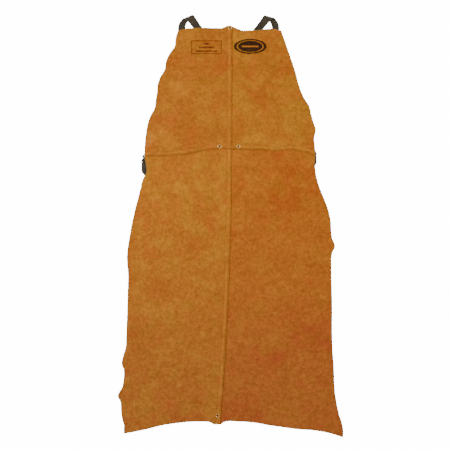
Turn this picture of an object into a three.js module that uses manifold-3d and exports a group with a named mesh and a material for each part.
// Welding apron in split cowhide, lying face up on a flat surface.
//
// Four leather panels (two for the bib, two for the skirt) are lapped and sewn along a waist seam and a
// centre seam, with a hollow rivet through each point that takes load. A webbing shoulder strap is sewn
// behind each top corner, turns over beyond the top edge, crosses under the bib and reaches the opposite
// side of the waist. The left strap is sewn there. The right strap ends in a side release buckle.
//
// Millimetres. +X is the right of the picture of the apron's face, +Y points to the neck, +Z is up.
// A "drop" is a distance down the apron from the middle of its top edge.

import * as THREE from 'three';
import { mergeVertices } from 'three/addons/utils/BufferGeometryUtils.js';
import Module from 'manifold-3d';

const wasm = await Module();
wasm.setup();

// ---------------------------------------------------------------- driving dimensions

const bibLength = 328;
const skirtLength = 728;
const topWidth = 275;
const armholeWidth = 360;
const underarmWidth = 442;
const waistWidth = 458;
const hipWidth = 544;
const hemWidth = 588;

const leatherThickness = 1.6;
const webbingThickness = 1.8;
const webbingWidth = 20;
const gap = 0.3;

const seamLap = 15;
const lapRamp = 12;

// ---------------------------------------------------------------- leather outline

const centreSeamDrift = 32;
const waistBow = 20;
const hemBow = 35;
const cornerRound = 5;
const waistEase = 1;
const hipEase = 5;
const thighFlare = 6;

// Raw hide edges wander: each wave is a swell (out) or hollow (in) of the side edge at a drop.
const leftEdgeWaves = [
  { drop: 52, reach: 20, swell: -6 },
  { drop: 80, reach: 24, swell: 6 },
  { drop: 142, reach: 34, swell: 7 },
  { drop: 214, reach: 34, swell: -7 },
  { drop: 386, reach: 30, swell: -7 },
  { drop: 616, reach: 60, swell: 4 },
  { drop: 894, reach: 34, swell: 9 },
  { drop: 986, reach: 30, swell: 12 },
  { drop: 1082, reach: 56, swell: -13 },
];
const rightEdgeWaves = [
  { drop: 156, reach: 46, swell: -3 },
  { drop: 218, reach: 34, swell: 8 },
  { drop: 266, reach: 28, swell: 11 },
  { drop: 500, reach: 100, swell: 10 },
  { drop: 588, reach: 32, swell: 11 },
  { drop: 866, reach: 150, swell: -4 },
  { drop: 976, reach: 80, swell: -5 },
  { drop: 1078, reach: 60, swell: 8 },
];

// The same for the three cross edges: a positive sag lowers the edge at a place across the apron.
const topEdgeWaves = [
  { across: 3, flat: 8, reach: 18, sag: -7 },
  { across: 52, flat: 16, reach: 40, sag: 4 },
  { across: -60, flat: 20, reach: 60, sag: -3 },
];
const waistWaves = [
  { across: -140, flat: 20, reach: 80, sag: 9 },
  { across: 180, flat: 10, reach: 60, sag: -8 },
];
const hemWaves = [
  { across: -140, flat: 20, reach: 90, sag: -6 },
  { across: 150, flat: 20, reach: 80, sag: 5 },
  { across: -33, flat: 8, reach: 16, sag: 7 },
  { across: 300, flat: 0, reach: 60, sag: 6 },
];

// ---------------------------------------------------------------- straps and buckle

const strapSewnLength = 36;
const strapRise = 34;
const strapRollRadius = 4.5;
const strapSewnLean = THREE.MathUtils.degToRad(86);
const strapTopLean = THREE.MathUtils.degToRad(51);
const leftStrapLean = THREE.MathUtils.degToRad(47.5);
const rightStrapLean = THREE.MathUtils.degToRad(49.5);
const leanChangeLength = 80;
const leftStrapEndDrop = bibLength + 22;
const leftStrapTuck = 26;
const foldOverhang = 2.5;
const strapEdgeRampFar = 26;
const strapEdgeLevelReach = 4;
const strapRampEase = 0.4;
const leftStrapRamp = [40, 60];
const rightStrapRampLength = 34;
const plainStationSpacing = 45;
const rollStationSpacing = 3;
const stationHeightStep = 0.3;

const buckleDrop = bibLength + 28;
const buckleInset = 5;
const buckleWidth = 29;
const buckleBodyLength = 32.5;
const buckleHeight = 7;
const buckleWall = 1.5;
const buckleBarRadius = 1.3;
const buckleBarSetback = 2.2;
const plugTravel = 36;
const plugThickness = 2.6;
const ladderLength = 16;
const ladderBarWidth = 2.6;
const ladderRailWidth = 2.4;
const tongueHalfWidth = 3.4;
const prongWidth = 3;
const prongLength = 16;
const prongSideGap = 0.5;
const tabTuck = 30;
const plugPassingRoom = 4;
const strapEndSetback = 4;
const buckleSideRoom = 0.9;
const buckleBarRoom = 1.7;
const crossWall = 2;
const windowInset = 5;
const cutterOverrun = 1;
const buckleCorner = 2.4;
const buckleBevel = 0.8;
const tongueSetback = 1.5;
const tongueCorner = 1.2;
const tongueBevel = 0.4;
const prongCorner = 0.8;
const prongBevel = 0.3;
const ladderInset = 0.2;
const ladderSink = 0.5;
const tabLoopReach = 10;

// ---------------------------------------------------------------- rivets

const rivetFlangeRadius = 5;
const rivetBoreRadius = 2.4;
const rivetBarrelRadius = 3;
const rivetFlangeHeight = 0.9;
const washerRadius = 5.6;
const washerThickness = 0.8;
const waistRivetSpread = 25;
const waistRivetSetback = 7.5;
const topRivetSetback = -3;
const hemRivetSetback = 15;
const washerFloorGap = 0.1;
const flangeRoundOut = 0.4;
const flangeRoundIn = 1.2;

// ---------------------------------------------------------------- heights

const layerPitch = leatherThickness + gap;
const lowStrapHeight = webbingThickness / 2;
const highStrapHeight = lowStrapHeight + webbingThickness + gap;
const webbingStack = highStrapHeight + webbingThickness / 2 + gap;
const plugStrapHeight = buckleWall + 2 * gap + plugThickness + webbingThickness / 2;
const ladderTop = plugStrapHeight + webbingThickness / 2 + gap + buckleWall;
const buckleStack = Math.max(buckleHeight, ladderTop) + gap;
const hemRivetLift = washerThickness + gap + washerFloorGap;
const strapStackFadeStart = bibLength + 80;
const strapStackFadeEnd = bibLength + 170;
const buckleFlatReach = 42;
const buckleFadeReach = 95;
const rivetFlatReach = 26;
const rivetFadeReach = 60;

// ---------------------------------------------------------------- small helpers

/** Falls smoothly from 1 at the start to 0 at the end. */
function fade(value, start, end) {
  return 1 - THREE.MathUtils.smoothstep(value, start, end);
}

/** A smooth curve through [place, value] stations. */
function throughStations(stations, place) {
  const last = stations.length - 2;
  let index = 0;
  while (index < last && place > stations[index + 1][0]) {
    index += 1;
  }
  const slopeAt = (i) => {
    const before = stations[Math.max(i - 1, 0)];
    const after = stations[Math.min(i + 1, stations.length - 1)];
    return (after[1] - before[1]) / (after[0] - before[0]);
  };
  const [start, startValue] = stations[index];
  const [end, endValue] = stations[index + 1];
  const span = end - start;
  const t = THREE.MathUtils.clamp((place - start) / span, 0, 1);
  const square = t * t;
  const cube = square * t;
  return (2 * cube - 3 * square + 1) * startValue
    + (cube - 2 * square + t) * span * slopeAt(index)
    + (3 * square - 2 * cube) * endValue
    + (cube - square) * span * slopeAt(index + 1);
}

/** A closed solid between two grids of points; each function gives the point at (row, column). */
function slabGeometry(rows, columns, upper, lower) {
  const corners = [];
  for (const place of [upper, lower]) {
    for (let row = 0; row < rows; row += 1) {
      for (let column = 0; column < columns; column += 1) {
        corners.push(place(row, column));
      }
    }
  }
  const up = (row, column) => row * columns + column;
  const down = (row, column) => rows * columns + up(row, column);
  const faces = [];
  const quad = (a, b, c, d) => faces.push([a, b, c], [a, c, d]);
  for (let row = 0; row + 1 < rows; row += 1) {
    for (let column = 0; column + 1 < columns; column += 1) {
      quad(up(row, column), up(row + 1, column), up(row + 1, column + 1), up(row, column + 1));
      quad(down(row, column), down(row, column + 1), down(row + 1, column + 1), down(row + 1, column));
    }
    const end = columns - 1;
    quad(up(row, 0), down(row, 0), down(row + 1, 0), up(row + 1, 0));
    quad(up(row, end), up(row + 1, end), down(row + 1, end), down(row, end));
  }
  for (let column = 0; column + 1 < columns; column += 1) {
    const end = rows - 1;
    quad(up(0, column), up(0, column + 1), down(0, column + 1), down(0, column));
    quad(up(end, column), down(end, column), down(end, column + 1), up(end, column + 1));
  }
  const geometry = new THREE.BufferGeometry();
  const positions = corners.flatMap((corner) => corner.toArray());
  geometry.setAttribute('position', new THREE.Float32BufferAttribute(positions, 3));
  geometry.setIndex(faces.flat());
  return geometry;
}

function toSolid(geometry) {
  const bare = geometry.clone();
  bare.deleteAttribute('normal');
  bare.deleteAttribute('uv');
  const merged = mergeVertices(bare, 1e-4);
  return new wasm.Manifold(new wasm.Mesh({
    numProp: 3,
    vertProperties: new Float32Array(merged.attributes.position.array),
    triVerts: new Uint32Array(merged.index.array),
  }));
}

function toGeometry(solid) {
  const mesh = solid.getMesh();
  const geometry = new THREE.BufferGeometry();
  geometry.setAttribute('position', new THREE.BufferAttribute(mesh.vertProperties, 3));
  geometry.setIndex(new THREE.BufferAttribute(mesh.triVerts, 1));
  return geometry;
}

function cut(geometry, ...tools) {
  return toGeometry(tools.reduce((solid, tool) => solid.subtract(toSolid(tool)), toSolid(geometry)));
}

function join(...geometries) {
  return toGeometry(geometries.map(toSolid).reduce((solid, other) => solid.add(other)));
}

/** A box given by its low and high limits along each axis. */
function block([x0, x1], [y0, y1], [z0, z1]) {
  const geometry = new THREE.BoxGeometry(x1 - x0, y1 - y0, z1 - z0);
  return geometry.translate((x0 + x1) / 2, (y0 + y1) / 2, (z0 + z1) / 2);
}

/** A block with its upright corners rounded and its upper and lower edges bevelled. */
function softBlock([x0, x1], [y0, y1], [z0, z1], corner, bevel) {
  const shape = new THREE.Shape();
  const low = new THREE.Vector2(x0 + bevel, y0 + bevel);
  const high = new THREE.Vector2(x1 - bevel, y1 - bevel);
  shape.moveTo(low.x + corner, low.y);
  shape.lineTo(high.x - corner, low.y);
  shape.absarc(high.x - corner, low.y + corner, corner, -Math.PI / 2, 0);
  shape.lineTo(high.x, high.y - corner);
  shape.absarc(high.x - corner, high.y - corner, corner, 0, Math.PI / 2);
  shape.lineTo(low.x + corner, high.y);
  shape.absarc(low.x + corner, high.y - corner, corner, Math.PI / 2, Math.PI);
  shape.lineTo(low.x, low.y + corner);
  shape.absarc(low.x + corner, low.y + corner, corner, Math.PI, 1.5 * Math.PI);
  const geometry = new THREE.ExtrudeGeometry(shape, {
    depth: z1 - z0 - 2 * bevel,
    bevelThickness: bevel,
    bevelSize: bevel,
    bevelSegments: 2,
    curveSegments: 4,
  });
  return geometry.translate(0, 0, z0 + bevel);
}

const materials = {
  leather: (colour) => new THREE.MeshStandardMaterial({ color: colour, roughness: 0.95, metalness: 0 }),
  webbing: () => new THREE.MeshStandardMaterial({ color: 0x403622, roughness: 0.85, metalness: 0 }),
  plastic: () => new THREE.MeshStandardMaterial({ color: 0x17171a, roughness: 0.45, metalness: 0 }),
  brass: () => new THREE.MeshStandardMaterial({ color: 0xc09050, roughness: 0.35, metalness: 0.9 }),
};

function named(name, geometry, material) {
  const mesh = new THREE.Mesh(geometry, material);
  mesh.name = name;
  return mesh;
}

// ---------------------------------------------------------------- the leather surface

/** Half the apron's width at a drop, on the left (side -1) or the right (side 1). */
function halfWidth(drop, side) {
  const waves = side < 0 ? leftEdgeWaves : rightEdgeWaves;
  const base = throughStations([
    [0, topWidth / 2],
    [0.38 * bibLength, armholeWidth / 2],
    [0.79 * bibLength, underarmWidth / 2],
    [bibLength, waistWidth / 2],
    [bibLength + 0.08 * skirtLength, waistWidth / 2 + waistEase],
    [bibLength + 0.31 * skirtLength, hipWidth / 2 - hipEase],
    [bibLength + 0.5 * skirtLength, hipWidth / 2],
    [bibLength + 0.75 * skirtLength, hipWidth / 2 + thighFlare],
    [bibLength + skirtLength + hemBow, hemWidth / 2],
  ], drop);
  const swellOf = (wave) => wave.swell * fade(Math.abs(drop - wave.drop), 0, wave.reach);
  return waves.reduce((sum, wave) => sum + swellOf(wave), base);
}

function sagOf(waves, across) {
  return waves.reduce((sum, wave) => {
    return sum + wave.sag * fade(Math.abs(across - wave.across), wave.flat, wave.flat + wave.reach);
  }, 0);
}

function topEdgeDrop(across) {
  const beyond = Math.max(Math.abs(across) / (topWidth / 2) - 0.85, 0) / 0.15;
  return cornerRound * Math.min(beyond, 1) ** 2 + sagOf(topEdgeWaves, across);
}

function waistDrop(across) {
  return bibLength + waistBow * (across / (waistWidth / 2)) ** 2 + sagOf(waistWaves, across);
}

function hemDrop(across) {
  const share = Math.abs(across) / (hemWidth / 2);
  return bibLength + skirtLength + hemBow * share ** 1.6 + sagOf(hemWaves, across);
}

/** Where the centre seam lies across the apron at a drop. */
function seamAcross(drop) {
  const share = Math.max(drop, 0) / (bibLength + skirtLength);
  return -1 - centreSeamDrift * share ** 3;
}

// Rows of the common leather grid. Each gives the drop at a place across the apron.
const rowPitch = 21;
const bibRowCount = Math.floor(bibLength / rowPitch);
const skirtRowCount = Math.round(skirtLength / rowPitch);
const rows = [];
for (let step = 0; step <= bibRowCount; step += 1) {
  const share = step / bibRowCount;
  const end = (across) => waistDrop(across) - seamLap - lapRamp;
  const dropAt = (across) => THREE.MathUtils.lerp(topEdgeDrop(across), end(across), share);
  rows.push({ overWaist: 0, drop: dropAt });
}
const lapRow = rows.length;
rows.push({ overWaist: 1, drop: (across) => waistDrop(across) - seamLap });
const waistRow = rows.length;
for (let step = 0; step <= skirtRowCount; step += 1) {
  const share = step / skirtRowCount;
  rows.push({
    overWaist: 1,
    drop: (across) => THREE.MathUtils.lerp(waistDrop(across), hemDrop(across), share),
  });
}
const hemRow = rows.length - 1;

// Columns of the common leather grid: fixed distances beside the centre seam, then shares of what is
// left to the side edge.
const sideColumnCount = 8;
const columns = [];
for (let step = sideColumnCount; step > 0; step -= 1) {
  columns.push({ side: -1, share: step / sideColumnCount });
}
const seamOffsets = [-seamLap / 2 - lapRamp, -seamLap / 2, 0, seamLap / 2, seamLap / 2 + lapRamp];
for (const offset of seamOffsets) {
  columns.push({ side: Math.sign(offset), offset });
}
for (let step = 1; step <= sideColumnCount; step += 1) {
  columns.push({ side: 1, share: step / sideColumnCount });
}
const leftLapColumn = sideColumnCount + 1;
const rightLapColumn = sideColumnCount + 3;

function columnAcross(row, column) {
  const { side, share, offset } = columns[column];
  const nearDrop = rows[row].drop(0);
  if (offset !== undefined) {
    return seamAcross(nearDrop) + offset;
  }
  const start = seamAcross(nearDrop) + side * (seamLap / 2 + lapRamp);
  const roughEdge = side * halfWidth(nearDrop, side);
  const edge = side * halfWidth(rows[row].drop(roughEdge), side);
  return THREE.MathUtils.lerp(start, edge, share);
}

// The buckle lies at the left edge of the waist, in line with the right strap. Its own frame starts at
// the middle of its webbing bar and runs up the strap.
const buckleAngle = rightStrapLean;
const buckleAlong = new THREE.Vector2(Math.cos(buckleAngle), Math.sin(buckleAngle));
const buckleStart = new THREE.Vector2(-waistWidth / 2 + buckleInset, -buckleDrop);
const bodyEnd = buckleBodyLength - buckleBarSetback;
const plugReach = bodyEnd + ladderLength + plugTravel + plugPassingRoom;

function distanceToBuckle(x, y) {
  const away = new THREE.Vector2(x, y).sub(buckleStart);
  const along = THREE.MathUtils.clamp(away.dot(buckleAlong), -tabTuck, plugReach);
  return away.addScaledVector(buckleAlong, -along).length();
}

const hemRivetDrop = bibLength + skirtLength - hemRivetSetback;
const hemRivet = new THREE.Vector2(seamAcross(hemRivetDrop) - 1, -hemRivetDrop);

/** Height of the underside of the lowest leather layer above the surface that the apron lies on. */
function leatherLift(x, y) {
  const overStraps = webbingStack * fade(-y, strapStackFadeStart, strapStackFadeEnd);
  const buckleExtra = buckleStack - webbingStack;
  const overBuckle = buckleExtra * fade(distanceToBuckle(x, y), buckleFlatReach, buckleFadeReach);
  const toRivet = Math.hypot(x - hemRivet.x, y - hemRivet.y);
  const overRivet = hemRivetLift * fade(toRivet, rivetFlatReach, rivetFadeReach);
  return overStraps + overBuckle + overRivet;
}

/** How many layers lie under each panel; offset is the distance to the right of the centre seam. */
function leftRise(offset) {
  return 1 - THREE.MathUtils.clamp((-offset - seamLap / 2) / lapRamp, 0, 1);
}

function rightRise(offset) {
  return 1 - THREE.MathUtils.clamp((offset - seamLap / 2) / lapRamp, 0, 1);
}

const layersUnder = {
  skirt_panel_right: () => 0,
  skirt_panel_left: (offset) => leftRise(offset),
  bib_panel_right: (offset, overWaist) => overWaist * (1 + rightRise(offset)),
  bib_panel_left: (offset, overWaist) => leftRise(offset) + overWaist * (1 + leftRise(offset)),
};

function panelGeometry(name, firstRow, lastRow, firstColumn, lastColumn) {
  const place = (height) => (row, column) => {
    const gridRow = rows[firstRow + row];
    const x = columnAcross(firstRow + row, firstColumn + column);
    const y = -gridRow.drop(x);
    const offset = x - seamAcross(gridRow.drop(0));
    const layers = layersUnder[name](offset, gridRow.overWaist);
    return new THREE.Vector3(x, y, leatherLift(x, y) + layers * layerPitch + height);
  };
  const rowCount = lastRow - firstRow + 1;
  const columnCount = lastColumn - firstColumn + 1;
  return slabGeometry(rowCount, columnCount, place(leatherThickness), place(0));
}

// ---------------------------------------------------------------- rivets

const seamAtWaist = seamAcross(bibLength);
const waistRivetY = (x) => -waistDrop(x) + waistRivetSetback;
const rivetSpots = {
  top: { x: seamAcross(0) + 2, y: -topRivetSetback, through: ['bib_panel_right', 'bib_panel_left'] },
  waist_left: { x: seamAtWaist - waistRivetSpread, through: ['skirt_panel_left', 'bib_panel_left'] },
  waist_right: { x: seamAtWaist + waistRivetSpread, through: ['skirt_panel_right', 'bib_panel_right'] },
  hem: { x: hemRivet.x, y: hemRivet.y, through: ['skirt_panel_right', 'skirt_panel_left'] },
};
rivetSpots.waist_left.y = waistRivetY(rivetSpots.waist_left.x);
rivetSpots.waist_right.y = waistRivetY(rivetSpots.waist_right.x);

const rivetSegments = 20;

function rivetHole(spot) {
  const height = 4 * buckleStack;
  const tool = new THREE.CylinderGeometry(
    rivetBarrelRadius + gap, rivetBarrelRadius + gap, height, rivetSegments,
  );
  return tool.rotateX(Math.PI / 2).translate(spot.x, spot.y, 0);
}

/** A closed ring turned about Z from [radius, height] corners, listed anticlockwise. */
function ring(corners) {
  const points = corners.map(([radius, height]) => new THREE.Vector2(radius, height));
  points.push(points[0].clone());
  return new THREE.LatheGeometry(points, rivetSegments).rotateX(Math.PI / 2);
}

function rivetMeshes(name, spot) {
  const bottom = leatherLift(spot.x, spot.y);
  const top = bottom + layerPitch + leatherThickness;
  const washerTop = bottom - gap;
  const washerBottom = washerTop - washerThickness;
  const seat = top + gap;
  const head = seat + rivetFlangeHeight;
  const eyelet = ring([
    [rivetBoreRadius, washerBottom],
    [rivetBarrelRadius, washerBottom],
    [rivetBarrelRadius, seat],
    [rivetFlangeRadius, seat],
    [rivetFlangeRadius - flangeRoundOut, seat + rivetFlangeHeight * 0.6],
    [rivetFlangeRadius - flangeRoundIn, head],
    [rivetBarrelRadius + gap, head],
    [rivetBoreRadius, seat + rivetFlangeHeight * 0.4],
  ]);
  const washer = ring([
    [rivetBarrelRadius + gap, washerBottom],
    [washerRadius - flangeRoundOut, washerBottom],
    [washerRadius, washerTop],
    [rivetBarrelRadius + gap, washerTop],
  ]);
  const meshes = [
    named(`rivet_${name}_eyelet`, eyelet, materials.brass()),
    named(`rivet_${name}_washer`, washer, materials.brass()),
  ];
  meshes.forEach((mesh) => mesh.position.set(spot.x, spot.y, 0));
  return meshes;
}

// ---------------------------------------------------------------- webbing

/**
 * A flat ribbon laid from its lower end. The profile is a path in the (Y, Z) plane whose length is run
 * along the ribbon's lean; the ribbon only curves across straight lines, as webbing does.
 * Each station is { along, turn }: the place on the middle line, and the direction of the line across
 * the ribbon there, so that lines lie along X over a roll and along Y at a fold.
 */
function ribbonGeometry({ start, side, profile, leanAt, stations, fold }) {
  const length = profile.getLength();
  const stepSize = 1;
  const middle = [new THREE.Vector2(start.x, 0)];
  while (middle.length * stepSize < 2 * length) {
    const before = middle[middle.length - 1];
    const lean = leanAt(length - before.y);
    middle.push(new THREE.Vector2(before.x + side * Math.cos(lean), before.y + Math.sin(lean)));
  }
  const middleAt = (along) => {
    const index = Math.floor(along / stepSize);
    return middle[index].clone().lerp(middle[index + 1], along / stepSize - index);
  };
  const place = (offset) => (row, column) => {
    const { along, turn } = stations[row];
    const centre = middleAt(along);
    const ahead = middleAt(along + 1).sub(centre).normalize();
    const across = new THREE.Vector2(Math.cos(turn), Math.sin(turn));
    const reach = webbingWidth / 2 / Math.abs(ahead.cross(across));
    const leftwards = ahead.cross(across) > 0 ? 1 : -1;
    const flat = centre.addScaledVector(across, reach * leftwards * (column === 0 ? -1 : 1));
    return fold(bend(profile, length, flat, offset), flat.x, offset);
  };
  const half = webbingThickness / 2;
  return slabGeometry(stations.length, 2, place(half), place(-half));
}

/** Puts a point of the flat ribbon on the profile, raised by an offset from its middle surface. */
function bend(profile, length, flat, offset) {
  const share = THREE.MathUtils.clamp(flat.y / length, 0, 1);
  const centre = profile.getPoint(share);
  const ahead = profile.getTangent(share);
  const past = flat.y - share * length;
  return new THREE.Vector3(
    flat.x,
    centre.x + ahead.x * past - ahead.y * offset,
    centre.y + ahead.y * past + ahead.x * offset,
  );
}

/** Turns what lies beyond an upright line up and back over itself, as at a hemmed end. */
function foldOver(foldX, outward, radius) {
  return (point, flatX, offset) => {
    const beyond = outward * (flatX - foldX);
    if (beyond <= 0) {
      return point;
    }
    const angle = Math.min(beyond / radius, Math.PI);
    const returned = Math.max(beyond - Math.PI * radius, 0);
    const middleHeight = point.z - offset;
    return new THREE.Vector3(
      foldX + outward * ((radius - offset) * Math.sin(angle) - returned),
      point.y,
      middleHeight + radius - (radius - offset) * Math.cos(angle),
    );
  };
}

const unfolded = (point) => point;

/** A strap's lean by its distance from the sewn end: upright where sewn, then one lean, then another. */
function strapLean(longLean) {
  const rollStart = strapSewnLength + strapRise;
  const rollEnd = rollStart + Math.PI * strapRollRadius + strapRise;
  return (fromSewnEnd) => {
    const upright = fade(fromSewnEnd, strapSewnLength, rollStart);
    const long = 1 - fade(fromSewnEnd, rollEnd, rollEnd + leanChangeLength);
    return strapTopLean + (strapSewnLean - strapTopLean) * upright + (longLean - strapTopLean) * long;
  };
}

/** Side view of a strap from its lower end to its sewn end behind the top corner. */
function strapProfile(lowerY, lowerHeight, rampStart, rampEnd, runHeight) {
  const rollY = strapRise - webbingThickness / 2 - strapRollRadius;
  const rollTop = lowStrapHeight + 2 * strapRollRadius;
  const edgeHeight = highStrapHeight - gap / 2;
  const path = new THREE.Path();
  path.moveTo(lowerY, lowerHeight);
  path.lineTo(rampStart, lowerHeight);
  path.bezierCurveTo(
    THREE.MathUtils.lerp(rampStart, rampEnd, strapRampEase), lowerHeight,
    THREE.MathUtils.lerp(rampEnd, rampStart, strapRampEase), runHeight, rampEnd, runHeight,
  );
  const farY = -strapEdgeRampFar;
  const nearY = strapEdgeLevelReach;
  const rampThird = (nearY - farY) / 3;
  path.lineTo(farY, runHeight);
  path.bezierCurveTo(farY + rampThird, runHeight, nearY - rampThird, edgeHeight, nearY, edgeHeight);
  const rise = (rollY - nearY) / 3;
  path.bezierCurveTo(nearY + rise, edgeHeight, nearY + 1.3 * rise, rollTop, rollY, rollTop);
  path.absarc(rollY, rollTop - strapRollRadius, strapRollRadius, Math.PI / 2, -Math.PI / 2, true);
  path.bezierCurveTo(rollY - rise, lowStrapHeight, rise, highStrapHeight, 0, highStrapHeight);
  path.lineTo(-strapSewnLength, highStrapHeight);
  return path;
}

/** Distances along a strap's middle line at which lines across it are needed. */
function strapStations(profile, leanAt, side, firstStations) {
  const squareTo = (lean) => side * (lean - Math.PI / 2);
  const length = profile.getLength();
  const stations = [...firstStations];
  const distances = [0];
  const run = 1;
  while (distances[distances.length - 1] < length) {
    const before = distances[distances.length - 1];
    distances.push(before + run * Math.sin(leanAt(length - before)));
  }
  const alongEnd = distances.length - 1;
  let lastHeight = Infinity;
  let lastAlong = stations[stations.length - 1].along;
  for (let along = lastAlong + 2; along < alongEnd - 2 * rollStationSpacing; along += 1) {
    const point = profile.getPoint(distances[along] / length);
    const busy = point.x > -strapEdgeRampFar && point.x < strapRise;
    const spacing = busy ? rollStationSpacing : plainStationSpacing;
    const moved = Math.abs(point.y - lastHeight) > stationHeightStep;
    if (along - lastAlong >= spacing || (moved && along - lastAlong >= rollStationSpacing)) {
      stations.push({ along, turn: 0 });
      lastAlong = along;
      lastHeight = point.y;
    }
  }
  stations.push({ along: alongEnd, turn: squareTo(strapSewnLean) });
  return stations;
}

function leftStrapGeometry() {
  const foldX = waistWidth / 2 + foldOverhang;
  const foldRadius = (highStrapHeight - lowStrapHeight) / 2;
  const leanAt = strapLean(leftStrapLean);
  const start = new THREE.Vector2(
    foldX + leftStrapTuck * Math.cos(leftStrapLean),
    -leftStrapEndDrop - leftStrapTuck * Math.sin(leftStrapLean),
  );
  const [rampStart, rampEnd] = leftStrapRamp.map((distance) => start.y + distance);
  const profile = strapProfile(start.y, lowStrapHeight, rampStart, rampEnd, lowStrapHeight);
  const first = [{ along: 0, turn: -(leftStrapLean - Math.PI / 2) }];
  const foldSteps = 6;
  for (let step = 0; step <= foldSteps; step += 1) {
    const beyond = Math.PI * foldRadius * (1 - step / foldSteps);
    first.push({ along: (foldX + beyond - start.x) / -Math.cos(leftStrapLean), turn: Math.PI / 2 });
  }
  const pastFold = leftStrapTuck + webbingWidth;
  first.push({ along: pastFold + 4, turn: -(leftStrapLean - Math.PI / 2) });
  first.push({ along: pastFold + webbingWidth, turn: 0 });
  const stations = strapStations(profile, leanAt, -1, first);
  return ribbonGeometry({ start, side: -1, profile, leanAt, stations, fold: foldOver(foldX, 1, foldRadius) });
}

const strapEndAlong = bodyEnd + strapEndSetback;

function rightStrapGeometry() {
  const leanAt = strapLean(rightStrapLean);
  const start = buckleStart.clone().addScaledVector(buckleAlong, strapEndAlong);
  const levelY = buckleStart.y + plugReach * buckleAlong.y + (webbingWidth / 2) * buckleAlong.x;
  const rampEnd = levelY + rightStrapRampLength;
  const profile = strapProfile(start.y, plugStrapHeight, levelY, rampEnd, highStrapHeight);
  const first = [
    { along: 0, turn: rightStrapLean - Math.PI / 2 },
    { along: webbingWidth, turn: 0 },
  ];
  const stations = strapStations(profile, leanAt, 1, first);
  return ribbonGeometry({ start, side: 1, profile, leanAt, stations, fold: unfolded });
}

// ---------------------------------------------------------------- side release buckle

const buckleMiddle = buckleHeight / 2;
const slotHalfWidth = webbingWidth / 2 + 2 * gap;
const cavityHalfWidth = buckleWidth / 2 - buckleWall - buckleSideRoom;
const cavityLow = buckleWall;
const cavityHigh = buckleWall + plugThickness + 2 * gap;
const slotEnd = buckleBarRadius + webbingThickness + 2 * gap + buckleBarRoom;
const cavityStart = slotEnd + crossWall;
const plugLow = cavityLow + gap;
const plugHigh = plugLow + plugThickness;

function buckleBodyGeometry() {
  const half = buckleWidth / 2;
  const open = cutterOverrun;
  const height = [cavityLow, cavityHigh];
  const shell = softBlock(
    [-buckleBarSetback, bodyEnd], [-half, half], [0, buckleHeight], buckleCorner, buckleBevel,
  );
  const slot = block(
    [-buckleBarSetback - open, slotEnd], [-slotHalfWidth, slotHalfWidth], [-open, buckleHeight + open],
  );
  const cavity = block([cavityStart, bodyEnd + open], [-cavityHalfWidth, cavityHalfWidth], height);
  const windowAlong = [cavityStart + windowInset, bodyEnd - windowInset];
  const window = block(windowAlong, [-half - open, half + open], height);
  const bar = new THREE.CylinderGeometry(buckleBarRadius, buckleBarRadius, 2 * slotHalfWidth + open, 16);
  bar.translate(0, 0, buckleMiddle);
  return join(cut(shell, slot, cavity, window), bar);
}

function bucklePlugGeometry() {
  const shoulder = bodyEnd + gap;
  const shoulderEnd = shoulder + ladderBarWidth;
  const end = shoulder + ladderLength;
  const railInner = slotHalfWidth;
  const railOuter = railInner + ladderRailWidth;
  const barLow = [plugLow - ladderSink, plugHigh];
  const shoulderBar = block([shoulder, shoulderEnd], [-railOuter, railOuter], barLow);
  const endBar = block([end - ladderBarWidth, end], [-railOuter, railOuter], barLow);
  const upperBarStart = (shoulderEnd + end - ladderBarWidth) / 2 - ladderBarWidth / 2;
  const upperBar = block(
    [upperBarStart, upperBarStart + ladderBarWidth],
    [-railOuter + ladderInset, railOuter - ladderInset],
    [plugStrapHeight + webbingThickness / 2 + gap, ladderTop],
  );
  const rails = [-1, 1].map((side) => {
    const across = [side * railInner, side * railOuter].sort((a, b) => a - b);
    const along = [shoulder + ladderInset, end - ladderInset];
    return block(along, across, [plugLow - ladderSink / 2, ladderTop - ladderInset / 2]);
  });
  const tongue = softBlock(
    [cavityStart + tongueSetback, shoulder + cutterOverrun], [-tongueHalfWidth, tongueHalfWidth],
    [plugLow, plugHigh], tongueCorner, tongueBevel,
  );
  return join(shoulderBar, endBar, upperBar, ...rails, tongue);
}

/** One of the plug's two side arms, which the fingers squeeze in through the body's side windows. */
function prongGeometry(side) {
  const outer = cavityHalfWidth - prongSideGap;
  const across = [side * (outer - prongWidth), side * outer].sort((a, b) => a - b);
  return softBlock([bodyEnd - prongLength, bodyEnd], across, [plugLow, plugHigh], prongCorner, prongBevel);
}

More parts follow.
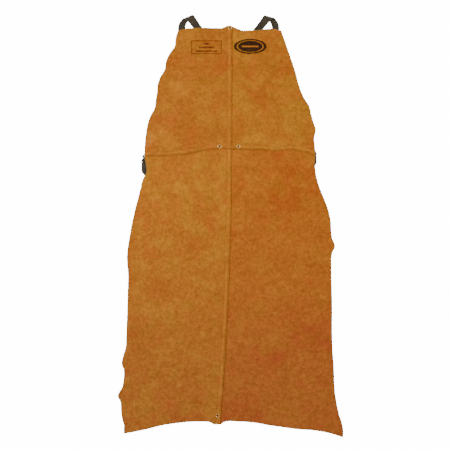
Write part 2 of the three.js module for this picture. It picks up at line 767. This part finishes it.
/** Webbing tab: sewn behind the waist edge, turned back at the edge and looped round the buckle's bar. */
function tabGeometry() {
  const loopInner = buckleBarRadius + gap;
  const loopOuter = loopInner + webbingThickness;
  const legHeight = buckleMiddle - loopInner - webbingThickness / 2;
  const sewnHeight = buckleStack - gap - webbingThickness / 2;
  const foldX = -waistWidth / 2 - foldOverhang - webbingThickness;
  const foldRadius = (sewnHeight - legHeight) / 2;
  const toFold = (buckleStart.x - foldX) / buckleAlong.x;
  const foldDepth = (Math.PI * foldRadius) / buckleAlong.x;
  const end = toFold + foldDepth + tabTuck;
  const lowerEnd = buckleStart.clone().addScaledVector(buckleAlong, -end);
  const profile = new THREE.Path();
  profile.moveTo(lowerEnd.y, legHeight);
  profile.lineTo(buckleStart.y + tabLoopReach, legHeight);
  const square = rightStrapLean - Math.PI / 2;
  const stations = [{ along: 0, turn: square }];
  const foldSteps = 9;
  for (let step = 0; step <= foldSteps; step += 1) {
    stations.push({ along: end - toFold - foldDepth * (1 - step / foldSteps), turn: Math.PI / 2 });
  }
  stations.push({ along: end, turn: square });
  const leg = ribbonGeometry({
    start: lowerEnd,
    side: 1,
    profile,
    leanAt: () => rightStrapLean,
    stations,
    fold: foldOver(foldX, -1, foldRadius),
  });
  const loopPoints = [
    new THREE.Vector2(loopInner, -webbingWidth / 2),
    new THREE.Vector2(loopOuter, -webbingWidth / 2),
    new THREE.Vector2(loopOuter, webbingWidth / 2),
    new THREE.Vector2(loopInner, webbingWidth / 2),
    new THREE.Vector2(loopInner, -webbingWidth / 2),
  ];
  const loop = new THREE.LatheGeometry(loopPoints, 24);
  loop.translate(0, 0, buckleMiddle);
  loop.rotateZ(buckleAngle).translate(buckleStart.x, buckleStart.y, 0);
  return join(leg, loop);
}

// ---------------------------------------------------------------- assembly

const apron = new THREE.Group();

const panels = {
  bib_panel_left: panelGeometry('bib_panel_left', 0, waistRow, 0, rightLapColumn),
  bib_panel_right: panelGeometry('bib_panel_right', 0, waistRow, leftLapColumn, columns.length - 1),
  skirt_panel_left: panelGeometry('skirt_panel_left', lapRow, hemRow, 0, rightLapColumn),
  skirt_panel_right: panelGeometry('skirt_panel_right', lapRow, hemRow, leftLapColumn, columns.length - 1),
};
const panelColours = {
  bib_panel_left: 0xb0702a,
  bib_panel_right: 0xb8782c,
  skirt_panel_left: 0xb87828,
  skirt_panel_right: 0xae6826,
};
for (const [name, geometry] of Object.entries(panels)) {
  const holes = Object.values(rivetSpots).filter((spot) => spot.through.includes(name)).map(rivetHole);
  apron.add(named(name, cut(geometry, ...holes), materials.leather(panelColours[name])));
}

for (const [name, spot] of Object.entries(rivetSpots)) {
  apron.add(...rivetMeshes(name, spot));
}

apron.add(named('shoulder_strap_left', leftStrapGeometry(), materials.webbing()));
apron.add(named('shoulder_strap_right', rightStrapGeometry(), materials.webbing()));
apron.add(named('buckle_tab', tabGeometry(), materials.webbing()));

const buckle = new THREE.Group();
buckle.position.set(buckleStart.x, buckleStart.y, 0);
buckle.rotation.z = buckleAngle;
buckle.add(named('buckle_body', buckleBodyGeometry(), materials.plastic()));
buckle.add(named('buckle_plug', bucklePlugGeometry(), materials.plastic()));
buckle.add(named('buckle_prong_left', prongGeometry(1), materials.plastic()));
buckle.add(named('buckle_prong_right', prongGeometry(-1), materials.plastic()));
apron.add(buckle);

// The origin is the middle of the underside of the box round the whole apron.
apron.updateMatrixWorld(true);
const box = new THREE.Box3().setFromObject(apron, true);
apron.position.set(-(box.min.x + box.max.x) / 2, -(box.min.y + box.max.y) / 2, -box.min.z);

export default apron;
